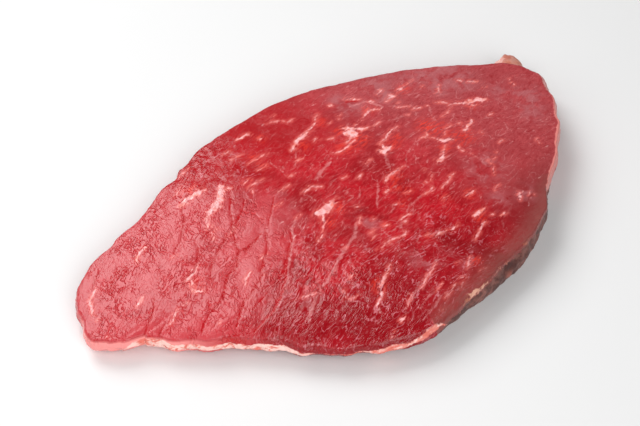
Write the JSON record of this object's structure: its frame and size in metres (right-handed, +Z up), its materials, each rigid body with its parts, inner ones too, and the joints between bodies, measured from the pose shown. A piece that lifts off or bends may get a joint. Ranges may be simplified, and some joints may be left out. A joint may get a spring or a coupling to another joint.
{
  "type": "raw beef steak",
  "caption": "Raw boneless beef steak, a flat leaf-shaped slice with a crowned cut face, an overhanging fat edge on one side and a small tag of fat at one end.",
  "frame": {"origin": "middle of the bounding box, on the flat underside", "axes": "+X along the slice towards its thicker right end, +Y towards the far edge, +Z up through the thickness"},
  "size_m": [0.2626, 0.1554, 0.0207],
  "materials": {
    "raw_beef": "moist raw beef, semi-gloss, with fine pale marbling and a pale pink fat edge"
  },
  "bodies": {
    "root": {"steak": "raw_beef"}
  },
  "joints": []
}
